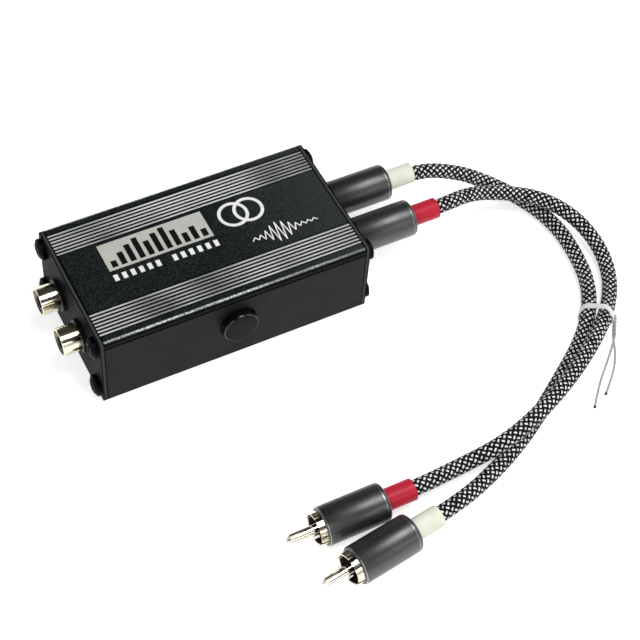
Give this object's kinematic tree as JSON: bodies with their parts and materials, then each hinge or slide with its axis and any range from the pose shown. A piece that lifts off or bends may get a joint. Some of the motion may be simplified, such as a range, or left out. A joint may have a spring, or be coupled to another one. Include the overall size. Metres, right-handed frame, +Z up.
{
  "type": "ground loop isolator",
  "caption": "Small ribbed metal box that isolates a stereo line signal, with phono jacks on both ends, a push button on its side and braided stereo patch leads tied together",
  "frame": {"origin": "middle of the case's flat underside", "axes": "+X from the input jacks to the output jacks along the case, +Y across it away from the button, +Z up"},
  "size_m": [0.1662, 0.1297, 0.026],
  "materials": {
    "case_top": "black anodised, satin, with bare bright rib tips",
    "case_side": "dark grey-green anodised, satin",
    "end_plate": "black anodised, satin",
    "screw_black": "black oxide, semi-gloss",
    "board_green": "green solder mask",
    "lamination": "stacked laminations",
    "bobbin_nylon": "natural nylon",
    "winding_tape": "yellow polyester tape",
    "tinned_pin": "tinned",
    "switch_black": "moulded",
    "button_gloss": "polished black",
    "jack_housing": "moulded black",
    "jack_nickel": "pale champagne plating",
    "jack_insulator": "moulded",
    "plug_ring": "pale gold plating",
    "plug_insulator": "moulded",
    "plug_pin": "pale gold plating",
    "barrel_black": "matte black anodised, bright cut front bevel",
    "collar_ivory": "satin ivory sleeve",
    "collar_crimson": "satin crimson sleeve",
    "lead_braid": "black and white braided sleeve",
    "tie_film": "clear film over thin wire"
  },
  "bodies": {
    "case": {"case_base": "case_side", "case_cover": "case_top", "input_plate": "end_plate", "output_plate": "end_plate", "input_plate_screws": "screw_black", "output_plate_screws": "screw_black", "circuit_board": "board_green", "left_transformer_core": "lamination", "left_transformer_bobbin": "bobbin_nylon", "left_transformer_winding": "winding_tape", "left_transformer_pins": "tinned_pin", "right_transformer_core": "lamination", "right_transformer_bobbin": "bobbin_nylon", "right_transformer_winding": "winding_tape", "right_transformer_pins": "tinned_pin", "switch_body": "switch_black", "switch_pins": "tinned_pin", "input_left_jack_housing": "jack_housing", "input_left_jack_sleeve": "jack_nickel", "input_left_jack_insulator": "jack_insulator", "input_left_jack_contact": "jack_nickel", "input_right_jack_housing": "jack_housing", "input_right_jack_sleeve": "jack_nickel", "input_right_jack_insulator": "jack_insulator", "input_right_jack_contact": "jack_nickel", "output_left_jack_housing": "jack_housing", "output_left_jack_sleeve": "jack_nickel", "output_left_jack_insulator": "jack_insulator", "output_left_jack_contact": "jack_nickel", "output_right_jack_housing": "jack_housing", "output_right_jack_sleeve": "jack_nickel", "output_right_jack_insulator": "jack_insulator", "output_right_jack_contact": "jack_nickel", "output_left_plug_ring": "plug_ring", "output_left_plug_insulator": "plug_insulator", "output_left_plug_pin": "plug_pin", "output_left_plug_barrel": "barrel_black", "output_left_plug_collar": "collar_ivory", "output_right_plug_ring": "plug_ring", "output_right_plug_insulator": "plug_insulator", "output_right_plug_pin": "plug_pin", "output_right_plug_barrel": "barrel_black", "output_right_plug_collar": "collar_crimson", "free_white_plug_ring": "plug_ring", "free_white_plug_insulator": "plug_insulator", "free_white_plug_pin": "plug_pin", "free_white_plug_barrel": "barrel_black", "free_white_plug_collar": "collar_ivory", "free_red_plug_ring": "plug_ring", "free_red_plug_insulator": "plug_insulator", "free_red_plug_pin": "plug_pin", "free_red_plug_barrel": "barrel_black", "free_red_plug_collar": "collar_crimson", "white_lead": "lead_braid", "red_lead": "lead_braid", "cord_tie": "tie_film"},
    "button": {"button_cap": "button_gloss", "switch_plunger": "bobbin_nylon"}
  },
  "joints": [
    {"name": "button_press", "type": "slide", "parent": "case", "child": "button", "axis": [0, 1, 0], "range_m": [0, 0.002], "stiffness_N_per_m": 300}
  ]
}
